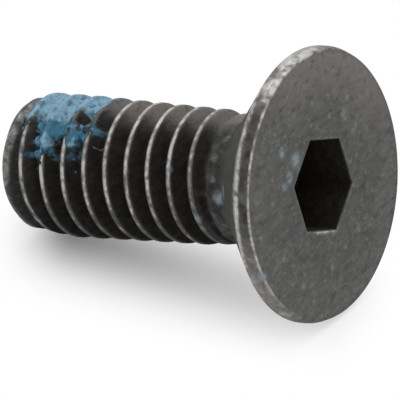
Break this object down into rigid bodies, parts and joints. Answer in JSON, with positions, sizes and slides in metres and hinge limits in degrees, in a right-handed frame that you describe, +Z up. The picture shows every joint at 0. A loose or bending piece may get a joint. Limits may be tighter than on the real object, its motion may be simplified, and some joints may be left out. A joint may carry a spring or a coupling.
{
  "type": "countersunk socket screw",
  "caption": "Short countersunk flat-head machine screw in black oxide steel, with a hexagon socket, a thread up to the head and a dried blue thread-lock patch near the tip.",
  "frame": {"origin": "middle of the lying screw's box, on the floor that it rests on", "axes": "+X along the floor from the tip towards the head, +Z up; the screw's axis lies in the XZ plane and rises 11.7 degrees towards the head"},
  "size_m": [0.0106, 0.0076, 0.0076],
  "materials": {
    "black_oxide_steel": "black oxide, satin, rubbed bright on crests and edges",
    "dried_thread_lock": "matte, lumpy dried film"
  },
  "bodies": {
    "root": {"screw": "black_oxide_steel", "thread_lock_patch": "dried_thread_lock"}
  },
  "joints": []
}
